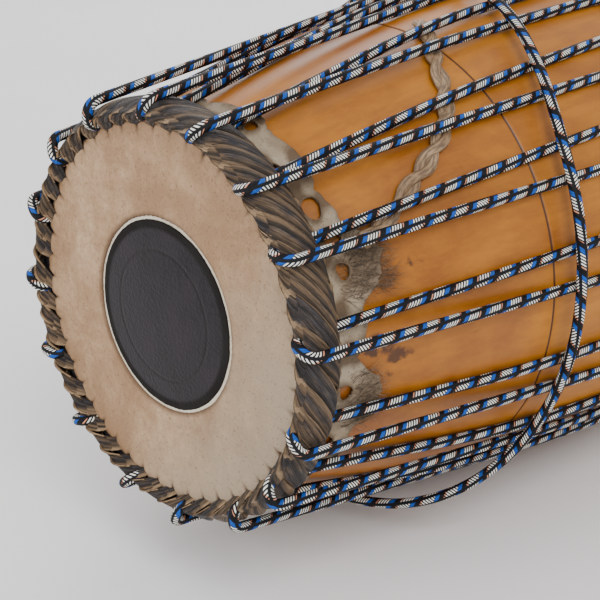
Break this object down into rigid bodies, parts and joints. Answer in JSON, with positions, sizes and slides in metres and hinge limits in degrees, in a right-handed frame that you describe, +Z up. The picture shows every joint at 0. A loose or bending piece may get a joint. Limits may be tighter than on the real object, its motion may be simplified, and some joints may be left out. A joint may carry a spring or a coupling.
{
  "type": "double-headed barrel hand drum",
  "caption": "Double-headed barrel hand drum lying on its side, with rope-laced hide heads, plaited rims and a black tuning patch.",
  "frame": {"origin": "under the middle of the drum, on the surface its lowest lacing strands rest on", "axes": "+X along the drum from the treble head to the bass head, +Z up, +Y to the far side"},
  "size_m": [0.575, 0.2603, 0.2605],
  "materials": {
    "shell_wood": "satin lacquer",
    "patch_paste": "hard black paste, burnished",
    "reed": "raw",
    "rope": "braided synthetic rope",
    "rawhide": "raw",
    "flap_hide": "raw, pale",
    "membrane_hide": "stretched, pale",
    "ring_hide": "stretched, matt",
    "braid_leather": "worn, dark"
  },
  "bodies": {
    "root": {"shell": "shell_wood", "tuning_patch": "patch_paste", "reed_slivers": "reed", "waist_cord": "rope", "waist_knot": "rope", "lacing_knot": "rope", "thong_tail": "rawhide", "treble_inner_ring_hide": "flap_hide", "treble_membrane": "membrane_hide", "treble_outer_ring_hide": "ring_hide", "treble_braid_core": "braid_leather", "treble_braid_thongs": "braid_leather", "bass_inner_ring_hide": "flap_hide", "bass_membrane": "membrane_hide", "bass_outer_ring_hide": "ring_hide", "bass_braid_core": "braid_leather", "bass_braid_thongs": "braid_leather", "lacing_run_01": "rope", "lacing_run_02": "rope", "lacing_run_03": "rope", "lacing_run_04": "rope", "lacing_run_05": "rope", "lacing_run_06": "rope", "lacing_run_07": "rope", "lacing_run_08": "rope", "lacing_run_09": "rope", "lacing_run_10": "rope", "lacing_run_11": "rope", "lacing_run_12": "rope", "lacing_run_13": "rope", "lacing_run_14": "rope", "lacing_run_15": "rope", "lacing_run_16": "rope"}
  },
  "joints": []
}
